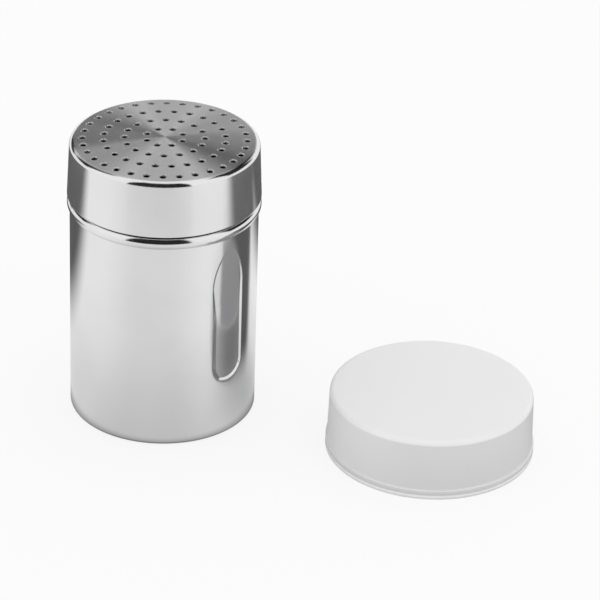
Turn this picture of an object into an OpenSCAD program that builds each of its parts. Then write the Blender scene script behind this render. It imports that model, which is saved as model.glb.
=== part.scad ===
// Table shaker for spice, sugar or cocoa: a pressed steel cup with two finger dimples,
// a perforated steel lid that screws on by two pressed nibs, and a loose plastic cover cap
// that stands beside it. Millimetres, +Z up, origin at the middle of the shaker's foot.
// -Y is the side the dimpled front is seen from.

/* [Sheet] */
// Thickness of the steel sheet of the cup, the foot disc and the lid
sheet = 0.6; // [0.4:0.05:0.8]
// Gap between pieces that lie on each other but are not joined
seat_gap = 0.1; // [0.05:0.05:0.3]

/* [Cup] */
// Outside diameter of the cup wall
body_d = 63.8; // [54:0.1:76]
// Height at which the cup wall runs out into the ring under the lid
wall_h = 75.2; // [60:0.1:95]
// Radius of the rounded ring that stands out under the lid
ring_r = 2.4; // [2:0.1:2.6]
// How far the ring stands out of the cup wall
ring_out = 0.9; // [0.5:0.1:1.2]
// Radius of the hollow where the wall runs into the ring
ring_root_r = 0.5; // [0.3:0.1:1]
// Radius of the hollow where the ring runs into the neck
neck_root_r = 0.9; // [0.7:0.1:1.6]
// Radius of the rounded lower edge of the cup
foot_r = 1.2; // [0.9:0.1:2.5]
// Width of the lip that is turned in under the cup to hold the foot disc
foot_lip_w = 2.8; // [2:0.1:5]

/* [Foot disc] */
// Height of the disc's turned-down rim, which stands where the rounded foot begins
disc_rim_h = 2; // [1.6:0.1:5]
// Radius of the rounded edge of the foot disc
disc_edge_r = 1.1; // [0.9:0.1:1.4]
// Radial clearance of the foot disc inside the cup wall
disc_fit = 0.05; // [0.03:0.01:0.1]

/* [Finger dimples] */
// Angle of the first dimple about the axis; the second is opposite
dimple_angle = -44; // [-80:1:80]
// Width of a dimple across the wall
dimple_w = 14; // [9:0.5:17]
// Depth to which a dimple is pressed in
dimple_depth = 0.6; // [0.4:0.1:1.2]
// Height of the lower end of a dimple
dimple_low = 20.3; // [12:0.1:26]
// Height from the upper end of a dimple to the upper end of the cup wall
dimple_clear = 2.6; // [1:0.1:10]
// Length of the pointed upper end
dimple_tip = 15.6; // [10:0.1:24]
// Length over which the depth runs out towards the upper end
dimple_run = 22; // [16:1:40]

/* [Neck] */
// How far the neck is set in from the cup wall
neck_inset = 1.9; // [1.7:0.1:2.2]
// Height of the neck's rim above the upper end of the cup wall
neck_h = 23; // [21:0.1:30]
// Radius of the bead rolled along the rim
rim_r = 0.65; // [0.5:0.05:0.75]
// How far the thread ridges stand out from the neck
ridge_h = 1.35; // [1.2:0.05:1.45]
// Climb of the thread in one full turn
thread_lead = 10; // [9.5:0.5:12]
// Length of each of the two ridges round the neck, in degrees
ridge_span = 110; // [80:5:120]
// How far past the nib's resting place the middle of its ridge lies, in degrees
ridge_ahead = 15; // [0:1:20]

/* [Lid] */
// Gap between the neck and the inside of the lid at its lower edge
lid_gap = 2.2; // [2.1:0.05:2.5]
// How much narrower the lid is at its upper edge
lid_taper = 1.6; // [1:0.1:2]
// Height of the lower edge of the lid above the upper end of the cup wall
skirt_clear = 4.8; // [4.4:0.1:6]
// Radius of the rounded upper edge
lid_edge_r = 2; // [1.2:0.1:2.4]
// How much higher the middle of the crown is than its edge
crown_rise = 1; // [0.5:0.1:2]
// Radius of the bead rolled along the lower edge
hem_r = 0.5; // [0.4:0.05:0.55]

/* [Holes] */
// Diameter of one shaking hole
hole_d = 2.1; // [1:0.1:3]
// Radius of the innermost ring of holes
first_ring_r = 6.4; // [5:0.1:8]
// Distance from the outermost ring of holes to the crown's rounded edge
hole_margin = 2.45; // [1.5:0.05:6]
// Number of rings of holes
rings = 4; // [1:1:4]
// Holes in the first ring; each further ring has as many more
holes_per_ring = 8; // [4:1:9]
// Angle by which the whole pattern is turned
pattern_turn = 1.5; // [-20:0.5:20]

/* [Nibs] */
// Angle of the first of the two nibs about the axis
nib_angle = 0; // [-90:1:90]
// Height of the nibs above the lower edge of the lid
nib_h = 6; // [5:0.1:7]
// Radius of a nib
nib_r = 1.2; // [1:0.05:1.25]
// Radius of the hollow pressed into the outside of the lid at each nib
nib_hollow_r = 0.75; // [0.5:0.05:0.8]
// How far in from the outside of the lid a nib reaches
nib_depth = 1.55; // [1.4:0.05:1.7]
// Free height between a nib and the ridge above it
thread_play = 0.35; // [0.3:0.05:0.4]

/* [Lid seal] */
// Thickness of the seal ring
seal_t = 1; // [0.6:0.1:1.5]
// Width of the seal ring, which lies over the middle of the rim's bead
seal_w = 1.5; // [1:0.1:1.6]

/* [Cover cap] */
// Gap all round between the lid and the inside of the cap when it is on
cap_gap = 1.2; // [0.8:0.1:3]
// How much narrower the cap is at its upper edge
cap_taper = 1; // [0.5:0.1:1.6]
// How far the cap, when it is on, stops short of the lid's lower edge
cap_short = 0.5; // [0:0.1:4]
// Wall thickness of the cap
cap_wall = 1; // [0.8:0.1:1.2]
// Radius of the rounded top edge of the cap
cap_edge_r = 1.8; // [1.4:0.1:4]
// Height of the wider lip along the cap's lower edge
cap_lip_h = 3.2; // [2:0.1:5]
// How far the lip stands out from the cap wall
cap_lip_out = 0.5; // [0.3:0.1:0.8]
// Free space between the cup and the cap that stands beside it
cap_beside = 28.4; // [10:0.1:60]
// Direction in which the cap stands, from straight right towards the back
cap_turn = -15.5; // [-60:0.5:60]

/* [Hidden] */
$fn = 180;
hole_facets = 24;
crown_facets = 1440;
over = 1;
seam_angle = 290;
body_r = body_d / 2;
neck_r = body_r - neck_inset;
// Middle of the ring's section, and where the neck starts: each arc touches the next
ring_x = body_r + ring_out - ring_r;
ring_z = wall_h + leg(ring_r + ring_root_r, body_r + ring_root_r - ring_x);
neck_z = ring_z + leg(ring_r + neck_root_r, neck_r + neck_root_r - ring_x);
function leg(long, short) = sqrt(pow(long, 2) - pow(short, 2));
rim_z = wall_h + neck_h;
cup_inner_r = body_r - sheet;
// Upper end of a dimple, and the radius of the two arcs that make its tip
dimple_high = wall_h - dimple_clear;
dimple_half = dimple_w / 2;
tip_r = (pow(dimple_tip, 2) + pow(dimple_half, 2)) / (2 * dimple_half);
// Seal, lid and nib heights follow the rim
seal_z = rim_z + seat_gap;
crown_edge_z = seal_z + seal_t + seat_gap + sheet;
lid_z = wall_h + skirt_clear;
lid_r = neck_r + lid_gap + sheet;
lid_top_r = lid_r - lid_taper / 2;
// Centre of the rounded upper edge, and the crown's sphere that touches it
edge_x = lid_top_r - lid_edge_r;
edge_z = crown_edge_z - lid_edge_r;
crown_drop = (pow(edge_x, 2) - pow(crown_rise, 2)) / (2 * crown_rise);
crown_r = crown_drop + crown_rise + lid_edge_r;
crown_z = edge_z - crown_drop;
// Rings of holes lie evenly between the first and the outermost
ring_pitch = (edge_x - hole_margin - first_ring_r) / max(rings - 1, 1);
// Angle at which the flared skirt touches the rounded edge
skirt_turn = atan2(lid_z - edge_z, lid_r - edge_x)
    + acos(lid_edge_r / norm([lid_r - edge_x, lid_z - edge_z]));
nib_z = lid_z + nib_h;
nib_skirt_r = lid_r - nib_h * tan(skirt_turn);
nib_tip_r = nib_skirt_r - nib_depth;
// Height from a nib's middle to the middle of the ridge above it
ridge_above = nib_r + sqrt(pow(ridge_h, 2) - pow(nib_tip_r - neck_r, 2)) + thread_play;
ridge_z = nib_z + ridge_above + thread_lead * ridge_ahead / 360;
// A tilted ring follows the thread's climb over the ridge's length
ridge_half = ridge_span / 2;
ridge_tilt = atan(thread_lead * ridge_half / 360 / sin(ridge_half) / neck_r);
cap_low_r = lid_r + cap_gap + cap_wall;
cap_top_r = cap_low_r - cap_taper / 2;
cap_h = cap_wall + crown_edge_z + crown_rise - lid_z - cap_short;
cap_away = body_r + cap_beside + cap_low_r + cap_lip_out;

// Half section of the cup, drawn in by t from its outside
module cup_section(t) {
    wall_root = [body_r + ring_root_r, wall_h];
    ring = [ring_x, ring_z];
    neck_root = [neck_r + neck_root_r, neck_z];
    inward = cup_inner_r - over;
    translate([0, foot_r]) square([body_r - t, wall_h - foot_r]);
    translate([0, t]) square([body_r - foot_r, wall_h - t]);
    intersection() {
        translate([body_r - foot_r, foot_r]) circle(foot_r - t);
        square([body_r, wall_h]);
    }
    translate(ring) circle(ring_r - t);
    difference() {
        polygon([
            [0, wall_h - over], [inward, wall_h - over], [inward, wall_h],
            wall_root, ring, neck_root, [0, neck_z]
        ]);
        translate(wall_root) circle(ring_root_r + t);
        translate(neck_root) circle(neck_root_r + t);
    }
    translate([0, neck_z - over / 10]) square([neck_r - t, rim_z - rim_r - neck_z + over / 10]);
}

// Outline of a dimple seen from outside, grown by t: round below and pointed above
module dimple_outline(t) {
    round_z = dimple_low + dimple_half;
    tip_z = dimple_high - dimple_tip;
    reach = dimple_half + t;
    translate([0, round_z]) circle(reach);
    translate([-reach, round_z]) square([2 * reach, tip_z - round_z]);
    intersection() {
        translate([dimple_half - tip_r, tip_z]) circle(tip_r + t);
        translate([tip_r - dimple_half, tip_z]) circle(tip_r + t);
        translate([-reach, tip_z]) square([2 * reach, 2 * dimple_tip]);
    }
}

// Solid that presses one dimple, grown by t: what lies in its outline beyond a round core
// that is as far in as the dimple is deep and widens towards the upper end
module dimple_tool(t) {
    core_r = body_r - dimple_depth - t;
    run_z = dimple_high - dimple_run;
    difference() {
        translate([core_r - 2 * over, 0, 0]) rotate([90, 0, 90])
            linear_extrude(dimple_depth + t + 3 * over) dimple_outline(t);
        rotate([0, 0, 180]) {
            cylinder(r = core_r, h = run_z);
            translate([0, 0, run_z])
                cylinder(r1 = core_r, r2 = core_r + dimple_depth, h = dimple_run + 2 * over);
        }
    }
}

// A turned solid whose seam lies clear of the dimples, the ridges and the nibs
module turned() {
    rotate([0, 0, seam_angle]) rotate_extrude() children();
}

module dimpled_cup(t) {
    difference() {
        turned() cup_section(t);
        for (side = [0, 180]) rotate([0, 0, dimple_angle + side]) dimple_tool(t);
    }
}

// One thread ridge: a round bar bent round the neck, with round ends
module ridge_bar() {
    rotate([0, 0, nib_angle + ridge_ahead]) translate([0, 0, ridge_z]) rotate([ridge_tilt, 0, 0]) {
        rotate([0, 0, -ridge_half]) rotate_extrude(angle = ridge_span)
            translate([neck_r, 0]) circle(ridge_h, $fn = 48);
        for (end = [-1, 1]) rotate([0, 0, end * ridge_half])
            translate([neck_r, 0, 0]) rotate([90, 0, 0]) sphere(ridge_h, $fn = 48);
    }
}

module body_shell() {
    color([0.78, 0.79, 0.8]) difference() {
        union() {
            dimpled_cup(0);
            for (side = [0, 180]) rotate([0, 0, side]) ridge_bar();
        }
        difference() {
            dimpled_cup(sheet);
            translate([0, 0, -over]) cylinder(r = body_r, h = sheet + over);
        }
        translate([0, 0, neck_z]) cylinder(r = neck_r - sheet, h = neck_h);
        translate([0, 0, -over]) cylinder(r = body_r - foot_lip_w, h = sheet + 2 * over);
    }
    color([0.78, 0.79, 0.8]) turned() translate([neck_r - rim_r, rim_z - rim_r]) circle(rim_r, $fn = 48);
}

// Half section of the foot disc's outside, drawn in by t
module disc_section(t) {
    r = cup_inner_r - disc_fit - t;
    top = disc_rim_h - t;
    edge = disc_edge_r - t;
    drop = t > 0 ? over : 0;
    translate([0, -drop]) square([r, top - edge + drop]);
    square([r - edge, top]);
    translate([r - edge, top - edge]) circle(edge, $fn = 48);
}

module base_disc() {
    color([0.72, 0.73, 0.74]) translate([0, 0, foot_r]) rotate_extrude() difference() {
        disc_section(0);
        disc_section(sheet);
    }
}

module lid_seal() {
    bead_r = neck_r - rim_r;
    color([0.9, 0.9, 0.88]) translate([0, 0, seal_z]) difference() {
        cylinder(r = bead_r + seal_w / 2, h = seal_t);
        translate([0, 0, -over]) cylinder(r = bead_r - seal_w / 2, h = seal_t + 2 * over);
    }
}

// Half section of the lid, drawn in by t from its outside
module lid_section(t) {
    edge = [edge_x, edge_z];
    touch = edge + (lid_edge_r - t) * [cos(skirt_turn), sin(skirt_turn)];
    low_r = lid_r - t / cos(skirt_turn);
    drop = t > 0 ? over : 0;
    polygon([[0, lid_z - drop], [low_r + drop * tan(skirt_turn), lid_z - drop], touch, edge, [0, edge_z]]);
    translate(edge) circle(lid_edge_r - t, $fn = 96);
    intersection() {
        translate([0, crown_z]) circle(crown_r - t, $fn = crown_facets);
        polygon([[0, edge_z - over], edge - [0, over], edge, edge * 1.1 - [0, crown_z * 0.1], [0, edge_z * 1.1]]);
    }
}

module hole_pattern() {
    for (ring = [1:rings]) {
        count = holes_per_ring * ring;
        half_step = ring % 2 == 1 ? 180 / count : 0;
        ring_r = first_ring_r + (ring - 1) * ring_pitch;
        for (i = [1:count]) rotate([0, 0, 90 + pattern_turn + half_step + i * 360 / count])
            translate([ring_r, 0, edge_z]) cylinder(d = hole_d, h = 2 * lid_edge_r + crown_rise, $fn = hole_facets);
    }
}

// Two round pegs of radius r that point at the axis, from one distance to another
module pegs(r, near, far) {
    for (side = [0, 180]) rotate([0, 0, nib_angle + side])
        translate([near, 0, nib_z]) rotate([0, 90, 0]) cylinder(r = r, h = far - near);
}

module lid_shell() {
    color([0.8, 0.81, 0.82]) difference() {
        union() {
            turned() difference() {
                lid_section(0);
                lid_section(sheet);
            }
            turned() translate([lid_r - hem_r, lid_z + hem_r]) circle(hem_r, $fn = 48);
            pegs(nib_r, nib_tip_r, nib_skirt_r - sheet / 2);
        }
        pegs(nib_hollow_r, nib_tip_r + sheet, lid_r + over);
        hole_pattern();
    }
}

// Half section of the cap, drawn in by t from its outside
module cap_section(t) {
    edge = [cap_top_r - cap_edge_r, cap_h - cap_edge_r];
    drop = t > 0 ? over : 0;
    polygon([[0, 0], [cap_low_r - t, 0], [cap_top_r - t, edge[1]], [0, edge[1]]]);
    translate([0, -drop]) square([cap_low_r + cap_lip_out - t, cap_lip_h - t + drop]);
    square([edge[0], cap_h - t]);
    translate(edge) circle(cap_edge_r - t, $fn = 96);
}

module cover_cap() {
    color([0.93, 0.94, 0.95, 0.8]) rotate([0, 0, cap_turn]) translate([cap_away, 0, 0]) difference() {
        rotate_extrude() cap_section(0);
        rotate_extrude() cap_section(cap_wall);
    }
}

body_shell();
base_disc();
lid_seal();
lid_shell();
cover_cap();
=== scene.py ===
import math

import bpy
import numpy as np
from bpy.props import FloatProperty, FloatVectorProperty, IntProperty, PointerProperty
from bpy.types import Operator, Panel, PropertyGroup
from mathutils import Matrix, Vector
from mathutils.geometry import delaunay_2d_cdt


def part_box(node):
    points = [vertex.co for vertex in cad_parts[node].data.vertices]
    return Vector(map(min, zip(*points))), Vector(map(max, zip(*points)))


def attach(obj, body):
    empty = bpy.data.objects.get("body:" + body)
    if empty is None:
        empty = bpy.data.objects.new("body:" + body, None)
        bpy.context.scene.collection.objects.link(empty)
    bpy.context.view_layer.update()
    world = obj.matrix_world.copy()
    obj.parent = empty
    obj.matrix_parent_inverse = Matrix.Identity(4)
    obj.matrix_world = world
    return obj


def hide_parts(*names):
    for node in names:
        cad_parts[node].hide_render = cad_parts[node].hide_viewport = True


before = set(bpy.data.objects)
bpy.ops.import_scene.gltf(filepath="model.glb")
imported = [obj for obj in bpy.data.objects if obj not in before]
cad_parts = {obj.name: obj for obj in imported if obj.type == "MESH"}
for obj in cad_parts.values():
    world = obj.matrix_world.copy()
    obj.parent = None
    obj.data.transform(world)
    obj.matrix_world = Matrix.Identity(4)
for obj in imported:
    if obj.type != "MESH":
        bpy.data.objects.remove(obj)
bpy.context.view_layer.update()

bl_info = {
    "name": "Steel Table Shaker",
    "version": (1, 0, 0),
    "blender": (4, 5, 0),
    "location": "3D View > Sidebar > Shaker",
    "description": "Dresses a pressed steel table shaker, its perforated screw lid and its cover cap",
    "category": "Add Mesh",
}

CUP_LOW, CUP_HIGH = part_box("body_shell")
DISC_LOW, DISC_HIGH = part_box("base_disc")
SEAL_LOW, SEAL_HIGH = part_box("lid_seal")
LID_LOW, LID_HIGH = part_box("lid_shell")
CAP_LOW, CAP_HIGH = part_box("cover_cap")
CAP_MIDDLE = (CAP_LOW + CAP_HIGH) / 2

MM = 0.001
FULL_TURN = 2 * math.pi

# Meshing: the turn between two rows of a rounding, and the distance below which two rows are one
ARC_STEP = math.radians(9)
SAME_PLACE = 1e-8

# Panels that polished metal sees in the studio, in degrees, as low end, high end and soft edge.
# A bearing is 0 on the camera's side and grows to the right; a height is 0 at the horizon
FRONT_FLAG = (-40, 33, 4)
FRONT_FLAG_HEIGHTS = (-4, 68, 5)
LEFT_FLAG = (-134, -100, 6)
RIGHT_FLAG = (82, 144, 6)
SIDE_FLAG_HEIGHTS = (14, 61, 5)
FLAG_DARKNESS = 0.985

# The dark streak on the wall behind: its height straight behind, in degrees, and its lean, as the
# parts across and up of the direction square to it
STREAK_HEIGHT = 28.0
STREAK_ACROSS = 0.33
STREAK_UP = 0.944

# Front border of the painted shade on the floor behind the shaker, which only polished metal sees,
# as places from 0.3 m left to 0.3 m right of the axis and distances in metres, counted from 0.5 m
# in front of it
PAINTED_SHADE_HALF_WIDTH = 0.3
PAINTED_SHADE_SHIFT = 0.5
PAINTED_SHADE_BORDER = [
    (0.0, 0.525), (0.2, 0.527), (0.333, 0.546), (0.417, 0.563), (0.5, 0.59), (0.6, 0.60), (1.0, 0.60),
]

# Greys of the lines round the cap's lip, from the lip's lower edge to its upper one: painted shade at
# the foot, a painted highlight, a painted dark line, the lip's own clearer grey and a painted highlight
# at its upper edge
PAINTED_LIP_LINES = [
    (0.0, 0.82), (0.18, 0.82), (0.26, 1.0), (0.42, 1.0),
    (0.58, 0.66), (0.70, 0.77), (0.92, 0.78), (1.0, 0.93),
]


def length(name, description, default):
    """A size of the shaker, in metres."""
    return FloatProperty(
        name=name, description=description, default=default,
        min=0, precision=5, unit="LENGTH", subtype="DISTANCE",
    )


def turn(name, description, degrees):
    """An angle, in radians, given in degrees."""
    return FloatProperty(
        name=name, description=description, default=math.radians(degrees),
        unit="ROTATION", subtype="ANGLE",
    )


def share(name, description, default):
    """A number from 0 to 1."""
    return FloatProperty(
        name=name, description=description, default=default,
        min=0, max=1, subtype="FACTOR",
    )


def colour(name, description, default):
    """A linear colour."""
    return FloatVectorProperty(
        name=name, description=description, default=default,
        min=0, max=1, size=3, subtype="COLOR",
    )


class CupSizes(PropertyGroup):
    """Sizes of the pressed cup and its foot disc."""

    wall_radius: length("Wall radius", "Outside radius of the cup wall", 31.9 * MM)
    rim_height: length("Rim height", "Height of the top of the rolled rim", CUP_HIGH.z)
    sheet: length("Sheet", "Thickness of the steel sheet", 0.6 * MM)
    wall_height: length("Wall height", "Height at which the wall runs into the ring", 75.2 * MM)
    ring_round: length("Ring rounding", "Radius of the ring that stands out under the lid", 2.4 * MM)
    ring_radius: length("Ring radius", "Outside radius of the ring under the lid", CUP_HIGH.x)
    ring_root: length("Ring root", "Radius of the hollow between wall and ring", 0.5 * MM)
    neck_root: length("Neck root", "Radius of the hollow under the neck", 0.9 * MM)
    neck_inset: length("Neck inset", "How far the neck is set in from the wall", 1.9 * MM)
    rim_bead: length("Rim bead", "Radius of the bead rolled along the rim", 0.65 * MM)
    foot_round: length("Foot rounding", "Radius of the rounded lower edge", 1.2 * MM)
    foot_lip: length("Foot lip", "Width of the lip turned in under the cup", 2.8 * MM)
    dimple_angle: turn("Dimple angle", "Direction of the first finger dimple", -44)
    dimple_width: length("Dimple width", "Width of a dimple across the wall", 14 * MM)
    dimple_low: length("Dimple low end", "Height of a dimple's lower end", 20.3 * MM)
    dimple_high: length("Dimple high end", "Height of a dimple's upper end", 72.6 * MM)
    dimple_depth: length("Dimple depth", "Depth to which a dimple is pressed in", 0.6 * MM)
    dimple_tip: length("Dimple tip", "Length of a dimple's pointed upper end", 15.6 * MM)
    dimple_run: length("Dimple run-out", "Length over which the depth runs out upwards", 22 * MM)
    dimple_edge: length("Dimple edge", "Width of the rounded step to the right of a dimple", 0.8 * MM)
    dimple_foot: length("Dimple foot", "Width of the softer step below and left of a dimple", 3 * MM)
    ridge_height: length("Ridge height", "How far a thread ridge stands out", 1.33 * MM)
    ridge_width: length("Ridge half width", "Half the width of a thread ridge", 1.7 * MM)
    ridge_level: length("Ridge level", "Height of the middle of the first ridge", 88.9 * MM)
    ridge_middle: turn("Ridge middle", "Direction of the middle of the first ridge", 15)
    ridge_span: turn("Ridge span", "Length of a ridge round the neck", 110)
    thread_lead: length("Thread lead", "Climb of the thread in one turn", 10 * MM)


class LidSizes(PropertyGroup):
    """Sizes of the perforated lid."""

    skirt_radius: length("Skirt radius", "Outside radius of the lower edge", LID_HIGH.x)
    lower_edge: length("Lower edge", "Height of the lower edge", LID_LOW.z)
    crown_top: length("Crown top", "Height of the middle of the crown", LID_HIGH.z)
    crown_rise: length("Crown rise", "Height of the crown's middle over its edge", 1 * MM)
    taper: length("Taper", "How much smaller the upper radius is", 0.8 * MM)
    edge_round: length("Edge rounding", "Radius of the rounded upper edge", 2 * MM)
    hem: length("Hem", "Radius of the rolled lower edge", 0.5 * MM)
    hole_radius: length("Hole radius", "Radius of a shaking hole", 1.05 * MM)
    rim_width: length("Rim width", "Width of the edge that punching draws in round a hole", 0.45 * MM)
    rim_depth: length("Rim depth", "Depth of the edge that punching draws in round a hole", 0.3 * MM)
    first_ring: length("First ring", "Radius of the innermost ring of holes", 6.4 * MM)
    ring_pitch: length("Ring pitch", "Distance between rings of holes", 7.05 * MM)
    rings: IntProperty(name="Rings", description="Number of rings of holes", default=4, min=1)
    ring_holes: IntProperty(
        name="Holes in the first ring", description="Each ring has as many more", default=8, min=1
    )
    pattern_turn: turn("Pattern turn", "Angle by which the pattern is turned", 1.5)
    nib_level: length("Nib level", "Height of the two pressed nibs", 86 * MM)
    nib_radius: length("Nib radius", "Radius of a pressed nib", 1.45 * MM)
    nib_depth: length("Nib depth", "How far a nib is pressed in", 0.93 * MM)


class CapSizes(PropertyGroup):
    """Sizes of the plastic cover cap."""

    lip_radius: length("Lip radius", "Outside radius of the lip", (CAP_HIGH.x - CAP_LOW.x) / 2)
    height: length("Height", "Height of the cap", CAP_HIGH.z)
    wall: length("Wall", "Thickness of the wall", 1 * MM)
    lip_out: length("Lip step", "How far the lip stands out", 0.5 * MM)
    lip_height: length("Lip height", "Height of the lip", 3.2 * MM)
    taper: length("Taper", "How much smaller the upper radius is", 0.5 * MM)
    edge_round: length("Edge rounding", "Radius of the rounded top edge", 1.8 * MM)
    small_round: length("Small rounding", "Radius of the lip's own edges", 0.25 * MM)


class Finishes(PropertyGroup):
    """Colours and roughnesses of the shaker's surfaces."""

    steel: colour("Steel", "Colour of the polished steel", (0.80, 0.80, 0.805))
    cup_roughness: share("Cup roughness", "Roughness of the polished cup", 0.13)
    lid_roughness: share("Lid roughness", "Roughness of the polished lid", 0.12)
    crown_roughness: share("Crown roughness", "Roughness of the lid's crown", 0.33)
    dull_steel: colour("Dull steel", "Colour of the foot disc", (0.66, 0.66, 0.67))
    dull_roughness: share("Dull roughness", "Roughness of the foot disc", 0.32)
    seal: colour("Seal", "Colour of the seal ring", (0.80, 0.80, 0.78))
    cap: colour("Cap", "Colour of the milky cap", (0.87, 0.868, 0.872))
    cap_roughness: share("Cap roughness", "Roughness of the cap", 0.38)


class StageSettings(PropertyGroup):
    """Camera and studio."""

    elevation: turn("Elevation", "Height of the camera above the horizon", 29.144)
    roll: turn("Roll", "Turn of the picture about the view axis", 1.826)
    distance: length("Distance", "From the camera to the aim", 1.1832)
    aim_right: length("Aim to the right", "Aim's place to the right of the foot's middle", 47.85 * MM)
    aim_up: length("Aim upwards", "Aim's place above the foot's middle", 33.71 * MM)
    lens: FloatProperty(name="Lens", description="Focal length", default=204, unit="CAMERA")
    floor: colour("Floor", "Colour of the floor", (0.86, 0.86, 0.86))
    floor_size: length("Floor size", "Width of the floor", 6.0)


# Sections and surfaces


def filleted(corners, step, closed=True):
    """Rows of r, z and outward normal along a half section given as (r, z, fillet radius) corners.

    The section is walked with its material on the left. A straight stretch gets a row at every step,
    and the first and last corners of an open section are its ends."""
    places = [np.array(corner[:2], float) for corner in corners]
    count = len(places)
    rows = []

    def add(place, heading):
        if not rows or np.hypot(*(place - rows[-1][:2])) > SAME_PLACE:
            rows.append(np.array([*place, heading[1], -heading[0]]))

    def heading_from(i, j):
        way = places[j % count] - places[i % count]
        return way / np.hypot(*way)

    for i in range(count):
        if not closed and i in (0, count - 1):
            add(places[i], heading_from(0, 1) if i == 0 else heading_from(count - 2, count - 1))
        else:
            before, after = heading_from(i - 1, i), heading_from(i, i + 1)
            bend = math.atan2(before[0] * after[1] - before[1] * after[0], before @ after)
            radius = corners[i][2]
            start = places[i] - before * radius * math.tan(abs(bend) / 2)
            centre = start + math.copysign(radius, bend) * np.array([-before[1], before[0]])
            parts = max(2, math.ceil(abs(bend) / ARC_STEP))
            for part in range(parts + 1):
                angle = bend * part / parts
                heading = np.array([
                    before[0] * math.cos(angle) - before[1] * math.sin(angle),
                    before[0] * math.sin(angle) + before[1] * math.cos(angle),
                ])
                side = np.array([heading[1], -heading[0]])
                add(centre + math.copysign(radius, bend) * side, heading)
        if closed or i < count - 1:
            ahead = heading_from(i, i + 1)
            following = corners[(i + 1) % count]
            stop = places[(i + 1) % count]
            if closed or i + 1 < count - 1:
                leave = heading_from(i + 1, i + 2)
                bend = math.atan2(ahead[0] * leave[1] - ahead[1] * leave[0], ahead @ leave)
                stop = stop - ahead * following[2] * math.tan(abs(bend) / 2)
            run = np.hypot(*(stop - rows[-1][:2]))
            pieces = math.ceil(run / step)
            begin = rows[-1][:2].copy()
            for piece in range(1, pieces):
                add(begin + (stop - begin) * piece / pieces, ahead)
    if closed and np.hypot(*(rows[0][:2] - rows[-1][:2])) < SAME_PLACE:
        rows.pop()
    return np.array(rows)


def smooth(part):
    """A number from 0 to 1, or an array of them, with its ends eased."""
    return part * part * (3 - 2 * part)


def graded_angles(coarse, fine=1.0, centres=(), reach=1.0):
    """Angles round a full turn, a coarse step apart.

    They are a fine step apart within reach of the given centres, and the step grows back to the
    coarse one over half as far again."""
    probe = np.linspace(0, FULL_TURN, 7201)
    density = np.full_like(probe, 1 / coarse)
    for centre in centres:
        away = np.abs((probe - centre + math.pi) % FULL_TURN - math.pi)
        near = np.clip((1.5 * reach - away) / (0.5 * reach), 0, 1)
        density = np.maximum(density, 1 / coarse + (1 / fine - 1 / coarse) * smooth(near))
    total = np.concatenate([[0], np.cumsum((density[1:] + density[:-1]) / 2 * np.diff(probe))])
    count = math.ceil(total[-1])
    return np.interp(np.arange(count) * total[-1] / count, total, probe)


def turned(section, angles, press=None):
    """Points and normals, ring by ring, of a section turned about +Z and then pressed.

    A pressed surface gets its normals from the pressing of places a probe's length away."""
    cosines, sines, zero = np.cos(angles), np.sin(angles), np.zeros_like(angles)
    outward = np.stack([cosines, sines, zero], -1)[None]
    round_way = np.stack([-sines, cosines, zero], -1)[None] + 0 * section[:, None, :1]
    up = np.array([0.0, 0.0, 1.0])
    r, z, normal_r, normal_z = (section[:, i, None, None] for i in range(4))
    points = r * outward + z * up
    normals = normal_r * outward + normal_z * up
    if press is None:
        return points, normals
    along = -normal_z * outward + normal_r * up
    probe = 0.02 * MM
    across = press(points + probe * round_way) - press(points - probe * round_way)
    onward = press(points + probe * along) - press(points - probe * along)
    normals = np.cross(across, onward)
    return press(points), normals / np.linalg.norm(normals, axis=-1, keepdims=True)


class Surface:
    """Vertices, normals and faces of one piece, gathered before its mesh is made."""

    def __init__(self):
        self.points = []
        self.normals = []
        self.faces = []
        self.count = 0

    def add(self, points, normals):
        """Adds vertices and returns their indices, in the shape of the points' rows."""
        shape = points.shape[:-1]
        self.points.append(points.reshape(-1, 3))
        self.normals.append(normals.reshape(-1, 3))
        first = self.count
        self.count += math.prod(shape)
        return np.arange(first, self.count).reshape(shape)

    def skin(self, index, close_rows):
        """Faces over a grid of indices whose columns close on themselves."""
        below = index if close_rows else index[:-1]
        above = np.roll(index, -1, 0) if close_rows else index[1:]
        beside = np.roll(below, -1, 1)
        over = np.roll(above, -1, 1)
        self.faces += np.stack([below, beside, over, above], -1).reshape(-1, 4).tolist()

    def fan(self, ring, tip, facing_up):
        """Triangles from a ring to one point on the axis."""
        normal = (0.0, 0.0, 1.0 if facing_up else -1.0)
        index = self.add(np.array([tip]), np.array([normal]))[0]
        after = np.roll(ring, -1)
        pairs = zip(ring, after) if facing_up else zip(after, ring)
        self.faces += [(int(a), int(b), int(index)) for a, b in pairs]

    def piece(self, name, material, node, body, slot):
        """Makes the object, puts it on its body and lets it stand for its CAD node."""
        mesh = bpy.data.meshes.new(name)
        mesh.from_pydata(np.concatenate(self.points).tolist(), [], self.faces)
        mesh.shade_smooth()
        mesh.normals_split_custom_set_from_vertices(np.concatenate(self.normals).tolist())
        mesh.materials.append(material)
        made = bpy.data.objects.new(name, mesh)
        bpy.context.scene.collection.objects.link(made)
        if mesh.validate():
            raise RuntimeError(f"{name} has faces that are not valid")
        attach(made, body)
        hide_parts(node)


# Shader trees


class Wire:
    """An output socket whose arithmetic adds Math nodes to its tree."""

    def __init__(self, tree, socket):
        self.tree, self.socket = tree, socket

    def __add__(self, other):
        return self.tree.math("ADD", self, other)

    def __sub__(self, other):
        return self.tree.math("SUBTRACT", self, other)

    def __rsub__(self, other):
        return self.tree.math("SUBTRACT", other, self)

    def __mul__(self, other):
        return self.tree.math("MULTIPLY", self, other)

    def __truediv__(self, other):
        return self.tree.math("DIVIDE", self, other)

    def __rtruediv__(self, other):
        return self.tree.math("DIVIDE", other, self)

    def __pow__(self, other):
        return self.tree.math("POWER", self, other)

    def __neg__(self):
        return self.tree.math("MULTIPLY", self, -1.0)

    __radd__ = __add__
    __rmul__ = __mul__


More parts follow.
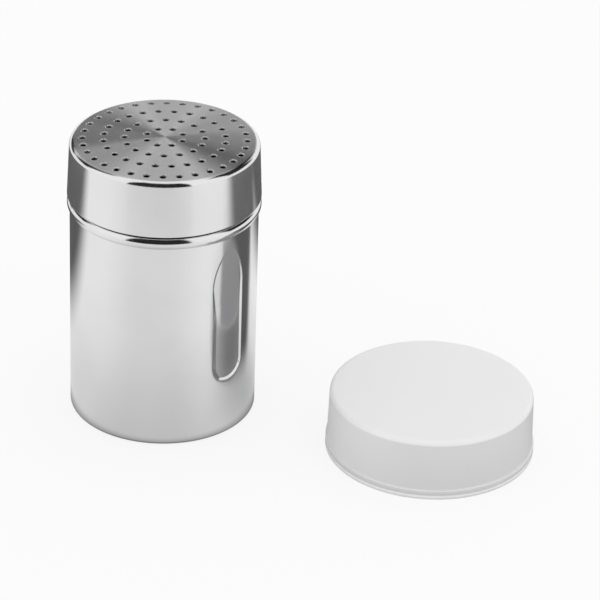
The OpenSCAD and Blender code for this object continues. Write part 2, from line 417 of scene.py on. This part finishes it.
class Tree:
    """The node tree of one material or world."""

    def __init__(self, owner):
        owner.use_nodes = True
        self.tree = owner.node_tree
        self.tree.nodes.clear()

    def node(self, kind, settings=None, inputs=None, output=0):
        """Adds a node, with its settings first and then its sockets, and returns one output."""
        made = self.tree.nodes.new(kind)
        for key, value in (settings or {}).items():
            if key == "stops":
                self.set_stops(made.color_ramp, value)
            else:
                setattr(made, key, value)
        for key, value in (inputs or {}).items():
            if isinstance(value, Wire):
                self.tree.links.new(value.socket, made.inputs[key])
            else:
                made.inputs[key].default_value = value
        return Wire(self, made.outputs[output]) if len(made.outputs) else None

    def set_stops(self, ramp, stops):
        """Sets a ramp's stops to (place, grey) pairs."""
        while len(ramp.elements) < len(stops):
            ramp.elements.new(0.5)
        for element, (place, grey) in zip(ramp.elements, stops):
            element.position = place
            element.color = (grey, grey, grey, 1)

    def math(self, operation, first, second=0.0, third=0.0):
        """One Math node."""
        return self.node("ShaderNodeMath", {"operation": operation}, {0: first, 1: second, 2: third})

    def split(self, vector):
        """The three parts of a vector."""
        parts = self.node("ShaderNodeSeparateXYZ", None, {0: vector})
        return [Wire(self, parts.socket.node.outputs[i]) for i in range(3)]

    def rise(self, value, low, high, start=0.0, end=1.0):
        """A smooth step from start to end as value goes from low to high."""
        settings = {"interpolation_type": "SMOOTHSTEP"}
        inputs = {"Value": value, "From Min": low, "From Max": high, "To Min": start, "To Max": end}
        return self.node("ShaderNodeMapRange", settings, inputs, "Result")

    def between(self, value, low, high, soft):
        """1 from low to high, with edges that are soft wide."""
        half = soft / 2
        risen = self.rise(value, low - half, low + half)
        return risen * self.rise(value, high - half, high + half, 1.0, 0.0)

    def blend(self, amount, plain, other):
        """A colour that goes from plain to other by amount."""
        inputs = {"Factor": amount, 6: plain, 7: other}
        return self.node("ShaderNodeMix", {"data_type": "RGBA"}, inputs, 2)

    def noise(self, vector, scale, detail, roughness=0.5):
        """A cloudy value about 0.5."""
        inputs = {"Vector": vector, "Scale": scale, "Detail": detail, "Roughness": roughness}
        return self.node("ShaderNodeTexNoise", None, inputs, 0)

    def ray(self, kind):
        """1 for rays of one kind, such as Is Camera Ray."""
        return self.node("ShaderNodeLightPath", None, None, kind)

    def matt(self, tint):
        """A matt shader of one colour."""
        return self.node("ShaderNodeBsdfDiffuse", None, {"Color": tint})

    def mix(self, amount, plain, other):
        """A shader that goes from plain to other by amount."""
        return self.node("ShaderNodeMixShader", None, {0: amount, 1: plain, 2: other})

    def surface(self, shader):
        """Ends a material's tree."""
        self.node("ShaderNodeOutputMaterial", None, {"Surface": shader})


BLACK = (0, 0, 0, 1)
WHITE = (1, 1, 1, 1)


def dimmed(tint, level=1.0):
    """A tint at a share of its brightness, as a socket takes it."""
    return (*(part * level for part in tint), 1.0)


def polished_steel(name, tint, roughness, brushing, flat_roughness, punched=0.0):
    """Polished steel whose fine marks run round the axis.

    A mark is long round the piece and narrow along its section, which z - r follows both up
    the walls and over the crown. Faces that look upwards take the flat roughness, and steep
    faces within the punched radius are left duller by the punch."""
    material = bpy.data.materials.new(name)
    tree = Tree(material)
    place = tree.node("ShaderNodeTexCoord", None, None, "Object")
    x, y, z = tree.split(place)
    radius = (x * x + y * y) ** 0.5 + 0.01 * MM
    along = (z - radius) * 900.0
    marks = tree.node("ShaderNodeCombineXYZ", None, {0: x / radius, 1: y / radius, 2: along})
    fine = tree.noise(marks, scale=2.2, detail=4.0, roughness=0.6)
    clouds = tree.noise(place, scale=38.0, detail=3.0)
    handled = tree.noise(place, scale=150.0, detail=4.0, roughness=0.65)
    worn = tree.rise(clouds, 0.42, 0.68)
    specks = tree.rise(handled, 0.62, 0.74)
    facing_up = tree.split(tree.node("ShaderNodeNewGeometry", None, None, "Normal"))[2]
    sloping, flat = 0.93, 0.985
    level = tree.rise(facing_up, sloping, flat, roughness, flat_roughness)
    rough = level + (fine - 0.5) * 0.04 + worn * 0.02 + specks * 0.02
    if punched:
        steep = tree.rise(facing_up, flat, sloping)
        rough = rough + steep * tree.rise(radius, punched, punched - 0.5 * MM) * 0.25
    bump = tree.node("ShaderNodeBump", None, {
        "Strength": 0.035,
        "Distance": 0.05 * MM,
        "Height": fine + worn * 0.4,
    })
    tree.surface(tree.node("ShaderNodeBsdfPrincipled", None, {
        "Base Color": tree.blend(worn * 0.35 + fine * 0.2, dimmed(tint), dimmed(tint, 0.93)),
        "Metallic": 1.0,
        "Roughness": rough,
        "Anisotropic": brushing,
        "Anisotropic Rotation": 0.25,
        "Normal": bump,
    }))
    return material


def milky_plastic(name, tint, roughness, lip_height, height):
    """Milky polyethylene with a faint moulded unevenness.

    Its wall carries painted shade, a little greyer than its top and darker towards the lip,
    with painted light on its left side, and the lip, which is solid and clearer, has painted
    highlight and shadow lines round its edges. Polished metal sees the side away from the
    camera in painted shade, dark matt copies of the plastic with a painted highlight along
    the rounded top edge, because little light of the studio gets in between cap and shaker."""
    material = bpy.data.materials.new(name)
    tree = Tree(material)
    place = tree.node("ShaderNodeTexCoord", None, None, "Object")
    flow = tree.noise(place, scale=26.0, detail=3.0)
    skin = tree.noise(place, scale=900.0, detail=3.0)
    across, _, level = tree.split(place)
    # Painted highlight and shadow lines round the lip, with the lip's own clearer grey, by height
    lines = tree.node("ShaderNodeValToRGB", {"stops": PAINTED_LIP_LINES}, {0: level / lip_height}, "Color")
    lip = tree.split(lines)[0]
    above_lip = tree.rise(level, lip_height + 0.2 * MM, lip_height + 0.6 * MM)
    # Painted light: the wall lighter towards its left side
    painted_light_left = tree.rise(across, CAP_MIDDLE.x - 4 * MM, CAP_LOW.x, 0.0, 0.09)
    # Painted shade: the wall greyer than the top and darker towards the lip
    painted_wall_shade = tree.rise(level, lip_height, height - 2.2 * MM, 0.79, 0.83) + painted_light_left
    side = lip + (painted_wall_shade - lip) * above_lip
    # The painted shade fades out over the rounded top edge, so the top keeps the plain colour
    brightness = side + (1.0 - side) * tree.rise(level, height - 1.7 * MM, height - 1.0 * MM)
    plain = tree.blend(tree.rise(flow, 0.3, 0.7) * 0.5, dimmed(tint), dimmed(tint, 0.975))
    bump = tree.node("ShaderNodeBump", None, {"Strength": 0.08, "Distance": 0.04 * MM, "Height": skin})
    milky = tree.node("ShaderNodeBsdfPrincipled", None, {
        "Base Color": tree.blend(brightness, BLACK, plain),
        "Roughness": roughness + (skin - 0.5) * 0.08 + (flow - 0.5) * 0.06,
        "IOR": 1.5,
        "Subsurface Weight": 0.6,
        "Subsurface Radius": (1.0, 1.0, 1.0),
        "Subsurface Scale": 0.5 * MM,
        "Normal": bump,
    })
    # Painted shade for polished metal only: the side away from the camera is swapped for dark matt
    # copies of the plastic, with a painted highlight along the rounded top edge
    x, y, _ = tree.split(tree.node("ShaderNodeNewGeometry", None, None, "Position"))
    facing_up = tree.split(tree.node("ShaderNodeNewGeometry", None, None, "Normal"))[2]
    away = y + x * 0.176
    wall = tree.rise(facing_up, 0.8, 0.3)
    edge = tree.between(facing_up, 0.25, 0.85, 0.2)
    shaded_top = tree.rise(away, -23.5 * MM, -19.5 * MM) * (1.0 - wall)
    shaded_wall = tree.rise(away, -42 * MM, -6 * MM) * wall
    painted_shade_copies = tree.mix(edge, tree.matt((0.33, 0.33, 0.335, 1)), tree.matt((0.6, 0.6, 0.605, 1)))
    painted_shade_share = tree.ray("Is Glossy Ray") * (shaded_top + shaded_wall)
    tree.surface(tree.mix(painted_shade_share, milky, painted_shade_copies))
    return material


def moulded_rubber(name, tint):
    """Matt silicone with a fine skin."""
    material = bpy.data.materials.new(name)
    tree = Tree(material)
    place = tree.node("ShaderNodeTexCoord", None, None, "Object")
    skin = tree.noise(place, scale=700.0, detail=3.0)
    bump = tree.node("ShaderNodeBump", None, {"Strength": 0.15, "Distance": 0.05 * MM, "Height": skin})
    tree.surface(tree.node("ShaderNodeBsdfPrincipled", None, {
        "Base Color": tree.blend(skin * 0.4, dimmed(tint), dimmed(tint, 0.92)),
        "Roughness": 0.55 + (skin - 0.5) * 0.2,
        "Normal": bump,
    }))
    return material


# The pieces


def bell(share_out):
    """1 in the middle, falling smoothly to 0 at a share of 1 outwards."""
    return np.cos(np.clip(np.abs(share_out), 0, 1) * math.pi / 2) ** 2


def dimple_depth(sizes, across, z):
    """Depth of a dimple at a place across its middle line and at height z.

    The step along its edge is rounded, and grows softer downwards and to the left. The depth
    runs out upwards."""
    half = sizes.dimple_width / 2
    tip_z = sizes.dimple_high - sizes.dimple_tip
    round_z = sizes.dimple_low + half
    tip_r = (sizes.dimple_tip**2 + half**2) / (2 * half)
    beside = half - np.abs(across)
    below = half - np.hypot(across, z - round_z)
    above = tip_r - np.hypot(np.abs(across) + tip_r - half, z - tip_z)
    inside = np.where(z < round_z, below, np.where(z > tip_z, above, beside))
    left_fade, past_tip = 12 * MM, 2 * MM
    lowness = np.clip((round_z - z) / half, 0, 1) ** 2
    leftness = np.clip(-across / half, 0, 1) * np.clip((tip_z - z) / left_fade, 0, 1)
    softness = np.maximum(lowness, leftness)
    step_width = sizes.dimple_edge + (sizes.dimple_foot - sizes.dimple_edge) * softness
    step = smooth(np.clip(inside / step_width, 0, 1))
    run = np.clip((sizes.dimple_high + past_tip - z) / (sizes.dimple_run + past_tip), 0, 1)
    return sizes.dimple_depth * run * step


def press_cup(sizes):
    """The pressing of the cup: two finger dimples in the wall and two thread ridges on the neck."""

    ridge_end = math.radians(2.6)
    neck_reach = sizes.wall_radius - sizes.neck_inset + 0.1 * MM

    def press(points):
        points = points.copy()
        bearing = np.arctan2(points[..., 1], points[..., 0])
        radius = np.hypot(points[..., 0], points[..., 1])
        depth = np.zeros_like(radius)
        for side in (0, math.pi):
            round_way = (bearing - sizes.dimple_angle - side + math.pi) % FULL_TURN - math.pi
            depth += dimple_depth(sizes, sizes.wall_radius * round_way, points[..., 2])
        on_wall = radius > sizes.wall_radius - 2 * sizes.sheet
        points[..., :2] *= (1 - np.where(on_wall, depth, 0) / radius)[..., None]
        lift = np.zeros_like(radius)
        for side in (0, math.pi):
            round_way = (bearing - sizes.ridge_middle - side + math.pi) % FULL_TURN - math.pi
            level = sizes.ridge_level + sizes.thread_lead * round_way / FULL_TURN
            past_end = (np.abs(round_way) - sizes.ridge_span / 2) / ridge_end + 1
            lift += bell((points[..., 2] - level) / sizes.ridge_width) * bell(np.clip(past_end, 0, 1))
        lift *= np.where(radius < neck_reach, sizes.ridge_height, 0)
        points[..., :2] *= (1 + lift / radius)[..., None]
        return points

    return press


def cup_section(sizes):
    """Half section of the cup: outside upwards, over the rim, inside downwards, foot lip."""
    wall, sheet, foot = sizes.wall_radius, sizes.sheet, sizes.foot_round
    neck = wall - sizes.neck_inset
    bead, rim = sizes.rim_bead, sizes.rim_height
    lip = wall - sizes.foot_lip
    root, ring, hollow = sizes.ring_root, sizes.ring_round, sizes.neck_root
    ring_r = sizes.ring_radius - ring
    ring_z = sizes.wall_height + math.sqrt((ring + root) ** 2 - (wall + root - ring_r) ** 2)
    neck_z = ring_z + math.sqrt((ring + hollow) ** 2 - (neck + hollow - ring_r) ** 2)

    def climb(t):
        """Two hollows and the ring between them, from the wall to the neck, drawn in by t."""
        low = np.array([wall + root, sizes.wall_height])
        middle = np.array([ring_r, ring_z])
        high = np.array([neck + hollow, neck_z])
        rows = []
        for centre, start, stop, radius, outward in (
            (low, math.pi, math.atan2(*(middle - low)[::-1]), root + t, -1),
            (middle, math.atan2(*(low - middle)[::-1]), math.atan2(*(high - middle)[::-1]), ring - t, 1),
            (high, math.atan2(*(middle - high)[::-1]) + FULL_TURN, math.pi, hollow + t, -1),
        ):
            parts = math.ceil(abs(stop - start) / ARC_STEP)
            for part in range(parts + 1):
                angle = start + (stop - start) * part / parts
                side = np.array([math.cos(angle), math.sin(angle)])
                if part or not rows:
                    rows.append([*(centre + radius * side), *(outward * side)])
        return np.array(rows)

    outside = filleted([
        (wall - foot, 0, 0),
        (wall, 0, foot),
        (wall, sizes.wall_height, 0),
    ], 0.3 * MM, closed=False)
    top = filleted([
        (neck, neck_z, 0),
        (neck, rim, bead),
        (neck - 2 * bead, rim, bead),
        (neck - 2 * bead, rim - 2 * bead, bead * 0.98),
        (neck - sheet, rim - 2 * bead, bead * 0.05),
        (neck - sheet, neck_z, 0),
    ], 0.5 * MM, closed=False)
    inside = filleted([
        (wall - sheet, sizes.wall_height, 0),
        (wall - sheet, sheet, foot - sheet),
        (lip, sheet, sheet * 0.3),
        (lip, 0, sheet * 0.3),
        (wall - foot, 0, 0),
    ], 0.8 * MM, closed=False)
    inner_climb = climb(sheet)[::-1] * [1, 1, -1, -1]
    return np.concatenate([outside[:-1], climb(0), top[1:-1], inner_climb, inside[1:-1]])


class SHAKER_OT_cup(Operator):
    """Make the dimpled steel cup with its neck, thread ridges and rolled rim"""

    bl_idname = "shaker.cup"
    bl_label = "Cup"

    def execute(self, context):
        sizes, finishes = context.scene.shaker_cup, context.scene.shaker_finishes
        dimples = [sizes.dimple_angle % FULL_TURN, (sizes.dimple_angle + math.pi) % FULL_TURN]
        reach = sizes.dimple_width / 2 / sizes.wall_radius
        angles = graded_angles(math.radians(2), math.radians(0.35), dimples, reach)
        surface = Surface()
        grid = surface.add(*turned(cup_section(sizes), angles, press_cup(sizes)))
        surface.skin(grid, close_rows=True)
        rough = finishes.cup_roughness
        steel = polished_steel("cup steel", finishes.steel, rough, 0.5, rough)
        surface.piece("cup", steel, "body_shell", "shaker", "cup_steel")
        return {"FINISHED"}


class SHAKER_OT_foot_disc(Operator):
    """Make the dull steel disc that closes the cup at its foot"""

    bl_idname = "shaker.foot_disc"
    bl_label = "Foot disc"

    def execute(self, context):
        sizes, finishes = context.scene.shaker_cup, context.scene.shaker_finishes
        rim, low, top, sheet = DISC_HIGH.x, DISC_LOW.z, DISC_HIGH.z, sizes.sheet
        middle = rim * 0.02
        section = filleted([
            (middle, top - sheet, 0),
            (rim - sheet, top - sheet, 0.5 * MM),
            (rim - sheet, low, 0.1 * MM),
            (rim, low, 0.1 * MM),
            (rim, top, 1.1 * MM),
            (middle, top, 0),
        ], 1.5 * MM, closed=False)
        surface = Surface()
        grid = surface.add(*turned(section, graded_angles(math.radians(3))))
        surface.skin(grid, close_rows=False)
        surface.fan(grid[0], (0, 0, top - sheet), facing_up=False)
        surface.fan(grid[-1], (0, 0, top), facing_up=True)
        rough = finishes.dull_roughness
        steel = polished_steel("foot steel", finishes.dull_steel, rough, 0.0, rough)
        surface.piece("foot_disc", steel, "base_disc", "shaker", "foot_steel")
        return {"FINISHED"}


class SHAKER_OT_seal(Operator):
    """Make the silicone ring between the rim and the lid"""

    bl_idname = "shaker.seal"
    bl_label = "Seal ring"

    def execute(self, context):
        cup, finishes = context.scene.shaker_cup, context.scene.shaker_finishes
        outer, low, top = SEAL_HIGH.x, SEAL_LOW.z, SEAL_HIGH.z
        inner = 2 * (cup.wall_radius - cup.neck_inset - cup.rim_bead) - outer
        soft = 0.2 * MM
        section = filleted([
            (outer, low, soft),
            (outer, top, soft),
            (inner, top, soft),
            (inner, low, soft),
        ], 1 * MM)
        surface = Surface()
        grid = surface.add(*turned(section, graded_angles(math.radians(3))))
        surface.skin(grid, close_rows=True)
        rubber = moulded_rubber("seal rubber", finishes.seal)
        surface.piece("seal_ring", rubber, "lid_seal", "lid_carrier", "seal_rubber")
        return {"FINISHED"}


def lid_section(sizes, sheet):
    """Half section of the lid, with the crown's radius and the height of its centre.

    It runs from the crown's edge down inside the skirt, round the hem and up outside."""
    upper = sizes.skirt_radius - sizes.taper
    edge_r = upper - sizes.edge_round
    edge_z = sizes.crown_top - sizes.crown_rise - sizes.edge_round
    drop = (edge_r**2 - sizes.crown_rise**2) / (2 * sizes.crown_rise)
    crown = drop + sizes.crown_rise + sizes.edge_round
    centre = edge_z - drop
    outwards, upwards = sizes.skirt_radius - edge_r, sizes.lower_edge - edge_z
    reach = math.hypot(outwards, upwards)
    flare = math.atan2(upwards, outwards) + math.acos(sizes.edge_round / reach)
    over = math.pi / 2 - math.asin(edge_r / (crown - sizes.edge_round))

    def corner(radius):
        far = radius / math.cos((over - flare) / 2)
        middle = (over + flare) / 2
        return edge_r + far * math.cos(middle), edge_z + far * math.sin(middle), radius

    def crown_edge(t):
        ratio = (crown - t) / crown
        return edge_r * ratio, centre + ratio * math.sqrt(crown**2 - edge_r**2), 0

    rolled, low = 2 * sizes.hem, sizes.lower_edge
    inner = sizes.skirt_radius - sheet / math.cos(flare)
    section = filleted([
        crown_edge(sheet),
        corner(sizes.edge_round - sheet),
        (inner - rolled * math.tan(flare), low + rolled, 0.03 * MM),
        (sizes.skirt_radius - rolled, low + rolled, 0.2 * MM),
        (sizes.skirt_radius - rolled, low, 0.45 * MM),
        (sizes.skirt_radius, low, 0.45 * MM),
        corner(sizes.edge_round),
        crown_edge(0),
    ], 0.3 * MM, closed=False)
    return section, crown, centre


def press_lid(sizes):
    """The pressing of the lid: two nibs, dents from outside, that run under the thread ridges."""

    def press(points):
        points = points.copy()
        for side in (1, -1):
            away = np.hypot(points[..., 1], points[..., 2] - sizes.nib_level)
            facing = side * points[..., 0] > 0
            depth = np.where(facing, sizes.nib_depth * bell(away / sizes.nib_radius), 0)
            points[..., 0] -= side * depth
        return points

    return press


def hole_places(sizes):
    """Centres of the shaking holes, ring by ring. Odd rings are turned by half a pitch."""
    places = []
    for ring in range(1, sizes.rings + 1):
        count = sizes.ring_holes * ring
        start = math.pi / 2 + sizes.pattern_turn + (math.pi / count if ring % 2 else 0)
        radius = sizes.first_ring + (ring - 1) * sizes.ring_pitch
        for i in range(count):
            angle = start + FULL_TURN * i / count
            places.append(radius * np.array([math.cos(angle), math.sin(angle)]))
    return places


def crown_faces(surface, rings, bottoms, tops):
    """Triangles of the perforated crown, for its top and its underside.

    rings are closed loops of flat places, the crown's edge first and then the holes; bottoms and
    tops are the vertices that stand for them on either side."""
    flat = [Vector(place) for ring in rings for place in ring]
    owner = [i for i, ring in enumerate(rings) for _ in ring]
    edges, first = [], 0
    for ring in rings:
        edges += [(first + i, first + (i + 1) % len(ring)) for i in range(len(ring))]
        first += len(ring)
    found, _, triangles, *_ = delaunay_2d_cdt(flat, edges, [], 0, 1e-6 * MM, False)
    if len(found) != len(flat):
        raise RuntimeError("two holes of the crown meet")
    below, above = np.concatenate(bottoms), np.concatenate(tops)
    for a, b, c in triangles:
        hole = owner[a]
        if hole and owner[b] == hole and owner[c] == hole:
            continue
        surface.faces.append((int(above[a]), int(above[b]), int(above[c])))
        surface.faces.append((int(below[c]), int(below[b]), int(below[a])))


def hole_profile(sizes, sheet):
    """A shaking hole's section as (radius, depth, lean of the normal) rows, from the crown down.

    Punching draws the edge in along a quarter of an ellipse and leaves a small chamfer below."""
    hole, width, deep, chamfer = sizes.hole_radius, sizes.rim_width, sizes.rim_depth, 0.06 * MM
    rows = []
    for angle in np.radians([0, 18, 36, 54, 72, 90]):
        across, down = width * math.cos(angle), deep * math.sin(angle)
        radius = hole + width * (1 - math.sin(angle))
        rows.append((radius, deep * (1 - math.cos(angle)), math.atan2(down, across)))
    rows.append((hole, sheet - chamfer, math.pi / 2))
    rows.append((hole + chamfer, sheet, math.pi))
    rows.append((hole + width, sheet, math.pi))
    return rows


class SHAKER_OT_lid(Operator):
    """Make the perforated steel lid with its rolled hem and pressed nibs"""

    bl_idname = "shaker.lid"
    bl_label = "Lid"

    def execute(self, context):
        sizes, finishes = context.scene.shaker_lid, context.scene.shaker_finishes
        sheet = context.scene.shaker_cup.sheet
        nibs, nib_reach = [0, math.pi], math.radians(3.5)
        angles = graded_angles(math.radians(1.8), math.radians(0.35), nibs, nib_reach)
        section, crown, centre = lid_section(sizes, sheet)
        surface = Surface()
        skirt = surface.add(*turned(section, angles, press_lid(sizes)))
        surface.skin(skirt, close_rows=False)

        steps = 30
        turns = FULL_TURN * np.arange(steps) / steps
        circle = np.stack([np.cos(turns), np.sin(turns)], -1)
        aside = np.concatenate([circle, np.zeros((steps, 1))], -1)
        profile = hole_profile(sizes, sheet)
        edge = section[-1][0]
        rings = [edge * np.stack([np.cos(angles), np.sin(angles)], -1)]
        bottoms, tops = [skirt[0]], [skirt[-1]]
        for place in hole_places(sizes):
            points, normals = [], []
            for out, depth, lean in profile:
                flat = place + out * circle
                height = np.sqrt(crown**2 - (flat**2).sum(-1))
                up = np.concatenate([flat, height[:, None]], -1) / crown
                points.append(up * (crown - depth) + np.array([0, 0, centre]))
                normals.append(math.cos(lean) * up - math.sin(lean) * aside)
            grid = surface.add(np.array(points), np.array(normals))
            surface.skin(grid, close_rows=False)
            rings.append(place + profile[0][0] * circle)
            tops.append(grid[0])
            bottoms.append(grid[-1])
        crown_faces(surface, rings, bottoms, tops)
        rough, crown_rough = finishes.lid_roughness, finishes.crown_roughness
        steel = polished_steel("lid steel", finishes.steel, rough, 1.0, crown_rough, punched=edge)
        surface.piece("lid", steel, "lid_shell", "lid", "lid_steel")
        return {"FINISHED"}


class SHAKER_OT_cap(Operator):
    """Make the milky plastic cover cap that stands beside the shaker"""

    bl_idname = "shaker.cap"
    bl_label = "Cover cap"

    def execute(self, context):
        sizes, finishes = context.scene.shaker_cap, context.scene.shaker_finishes
        lip, wall, top, small = sizes.lip_radius, sizes.wall, sizes.height, sizes.small_round
        low = lip - sizes.lip_out
        upper = low - sizes.taper
        middle, lip_top = upper * 0.02, sizes.lip_height
        section = filleted([
            (middle, top - wall, 0),
            (upper - wall, top - wall, sizes.edge_round - wall),
            (low - wall, lip_top - wall, small),
            (lip - wall, lip_top - wall, small),
            (lip - wall, 0, small),
            (lip, 0, small),
            (lip, lip_top, small),
            (low, lip_top, small),
            (upper, top, sizes.edge_round),
            (middle, top, 0),
        ], 1 * MM, closed=False)
        surface = Surface()
        grid = surface.add(*turned(section, graded_angles(math.radians(2))))
        surface.skin(grid, close_rows=False)
        surface.fan(grid[0], (0, 0, top - wall), facing_up=False)
        surface.fan(grid[-1], (0, 0, top), facing_up=True)
        for points in surface.points:
            points[:, 0] += CAP_MIDDLE.x
            points[:, 1] += CAP_MIDDLE.y
        plastic = milky_plastic("cap plastic", finishes.cap, finishes.cap_roughness, lip_top, top)
        surface.piece("cover_cap_shell", plastic, "cover_cap", "cap", "cap_plastic")
        return {"FINISHED"}


# The stage


def make_camera(settings):
    """Puts the camera where the photograph was taken from."""
    tilt, roll = settings.elevation, settings.roll
    ahead = Vector((0, math.cos(tilt), -math.sin(tilt)))
    level = Vector((1, 0, 0))
    lower = Vector((0, -math.sin(tilt), -math.cos(tilt)))
    right = math.cos(roll) * level - math.sin(roll) * lower
    up = -math.sin(roll) * level - math.cos(roll) * lower
    aim = settings.aim_right * right + settings.aim_up * up
    camera = bpy.data.objects.new("camera", bpy.data.cameras.new("camera"))
    camera.data.lens = settings.lens
    camera.data.clip_start = 0.05
    camera.data.clip_end = 20
    facing = Matrix((right, up, -ahead)).transposed().to_4x4()
    camera.matrix_world = Matrix.Translation(aim - settings.distance * ahead) @ facing
    bpy.context.scene.collection.objects.link(camera)
    bpy.context.scene.camera = camera


def make_studio_world():
    """Even white light, in which polished metal sees the panels of a studio.

    Bearings and heights are in degrees."""
    world = bpy.data.worlds.new("studio")
    bpy.context.scene.world = world
    tree = Tree(world)
    direction = tree.node("ShaderNodeTexCoord", None, None, "Generated")
    x, y, z = tree.split(direction)
    bearing = tree.math("ARCTAN2", x, -y) * math.degrees(1)
    height = tree.math("ARCSINE", z) * math.degrees(1)
    front_flag = tree.between(bearing, *FRONT_FLAG) * tree.between(height, *FRONT_FLAG_HEIGHTS)
    sides = tree.between(bearing, *LEFT_FLAG) + tree.between(bearing, *RIGHT_FLAG)
    side_flags = sides * tree.between(height, *SIDE_FLAG_HEIGHTS)
    flags = tree.math("MINIMUM", front_flag + side_flags, 1.0)
    panels = 1.0 - flags * FLAG_DARKNESS

    aside = tree.math("WRAP", bearing + 180.0, 180.0, -180.0)
    from_streak = aside * STREAK_ACROSS + (height - STREAK_HEIGHT) * STREAK_UP
    streak = tree.rise(tree.math("ABSOLUTE", from_streak), 4, 12, 0.02, 1.0)
    wall = tree.rise(height, 16, 36, 1.0, 0.5) * streak
    ceiling = tree.rise(height, 58, 66)
    back = tree.math("MAXIMUM", wall, ceiling)
    behind = tree.rise(tree.math("ABSOLUTE", bearing), 126, 134)
    level = panels + (back - panels) * behind
    strength = 1.0 + (level - 1.0) * tree.ray("Is Glossy Ray")
    shader = tree.node("ShaderNodeBackground", None, {"Color": WHITE, "Strength": strength})
    tree.node("ShaderNodeOutputWorld", None, {"Surface": shader})


def floor_material(tint):
    """A white floor that keeps the soft shadow, with painted shade that only polished metal sees.

    Painted shade lies behind the shaker, and a painted shadow of shaker and cap beside it, to the
    right. Polished metal also sees painted shade on the floor: darker straight in front, close to
    the shaker with a painted contact shadow at its foot, between shaker and cap, and under the
    front panel.
    Places are in metres."""
    material = bpy.data.materials.new("studio floor")
    tree = Tree(material)
    place = tree.node("ShaderNodeNewGeometry", None, None, "Position")
    x, y, _ = tree.split(place)
    distance = (x * x + y * y) ** 0.5
    bearing = tree.math("ARCTAN2", x, -y) * math.degrees(1)

    # Painted shade behind the shaker, and a painted shadow of shaker and cap to its right, both seen
    # only by polished metal
    place_across = (x + PAINTED_SHADE_HALF_WIDTH) / (2 * PAINTED_SHADE_HALF_WIDTH)
    border = tree.node("ShaderNodeValToRGB", {"stops": PAINTED_SHADE_BORDER}, {0: place_across}, "Color")
    border_y = tree.split(border)[0] - PAINTED_SHADE_SHIFT
    behind = tree.rise(y - border_y, -0.03, 0.035)
    beside = tree.rise(x, 0.05, 0.075) * tree.rise(y - x, -0.035, -0.055)
    beside = beside * tree.rise(y + (x - 0.1) * 0.08, -0.065, 0.005)
    painted_shade_patches = tree.math("MAXIMUM", behind, beside) * tree.rise(distance, 0.36, 0.29)

    # Painted shade seen only by polished metal: darker straight in front, under the front panel, close
    # to the shaker, in a painted contact shadow at its foot and between shaker and cap
    front = tree.rise(tree.math("ABSOLUTE", bearing + 8.0), 15, 62, 0.86, 1.0)
    painted_shade_far_front = tree.between(bearing, *FRONT_FLAG) * tree.rise(y, -0.42, -0.5)
    painted_contact_shadow = tree.rise(distance, 0.0305, 0.037, 0.3, 1.0)
    near = tree.rise(distance, 0.033, 0.125, 0.80, 1.0) * painted_contact_shadow
    from_gap = ((x - 0.052) ** 2.0 + (y + 0.004) ** 2.0) ** 0.5
    painted_gap_shade = tree.rise(from_gap, 0.0, 0.045, 0.68, 1.0)
    painted_shade_seen = front * near * painted_gap_shade * (1.0 - painted_shade_patches * 0.88) * (1.0 - painted_shade_far_front * 0.98)

    glossy = tree.ray("Is Glossy Ray")
    shade = 1.0 - glossy * (1.0 - painted_shade_seen)
    glow = tree.node("ShaderNodeEmission", None, {"Color": WHITE})
    glowing = (tree.ray("Is Camera Ray") + glossy) * 0.82
    lit = tree.mix(glowing, tree.matt(dimmed(tint)), glow)
    tree.surface(tree.mix(shade, tree.matt(BLACK), lit))
    return material


class SHAKER_OT_stage(Operator):
    """Make the floor, the studio light and the camera"""

    bl_idname = "shaker.stage"
    bl_label = "Stage"

    def execute(self, context):
        settings = context.scene.shaker_stage
        half = settings.floor_size / 2
        mesh = bpy.data.meshes.new("floor")
        corners = [(-half, -half, 0), (half, -half, 0), (half, half, 0), (-half, half, 0)]
        mesh.from_pydata(corners, [], [(0, 1, 2, 3)])
        mesh.materials.append(floor_material(settings.floor))
        floor = bpy.data.objects.new("floor", mesh)
        context.scene.collection.objects.link(floor)
        make_studio_world()
        make_camera(settings)
        context.scene.view_settings.view_transform = "Standard"
        return {"FINISHED"}


class SHAKER_PT_panel(Panel):
    """The shaker's pieces and settings."""

    bl_idname = "SHAKER_PT_panel"
    bl_label = "Table shaker"
    bl_space_type = "VIEW_3D"
    bl_region_type = "UI"
    bl_category = "Shaker"

    def draw(self, context):
        for operator in OPERATORS:
            self.layout.operator(operator.bl_idname)
        for name, group in SETTINGS.items():
            box = self.layout.box()
            for field in group.__annotations__:
                box.prop(getattr(context.scene, name), field)


SETTINGS = {
    "shaker_cup": CupSizes,
    "shaker_lid": LidSizes,
    "shaker_cap": CapSizes,
    "shaker_finishes": Finishes,
    "shaker_stage": StageSettings,
}
OPERATORS = (
    SHAKER_OT_cup,
    SHAKER_OT_foot_disc,
    SHAKER_OT_seal,
    SHAKER_OT_lid,
    SHAKER_OT_cap,
    SHAKER_OT_stage,
)


def register():
    for kind in (*SETTINGS.values(), *OPERATORS, SHAKER_PT_panel):
        bpy.utils.register_class(kind)
    for name, group in SETTINGS.items():
        setattr(bpy.types.Scene, name, PointerProperty(type=group))


def unregister():
    for name in SETTINGS:
        delattr(bpy.types.Scene, name)
    for kind in reversed((*SETTINGS.values(), *OPERATORS, SHAKER_PT_panel)):
        bpy.utils.unregister_class(kind)


def main():
    register()
    bpy.ops.shaker.cup()
    bpy.ops.shaker.foot_disc()
    bpy.ops.shaker.seal()
    bpy.ops.shaker.lid()
    bpy.ops.shaker.cap()
    bpy.ops.shaker.stage()


if __name__ == "__main__":
    main()
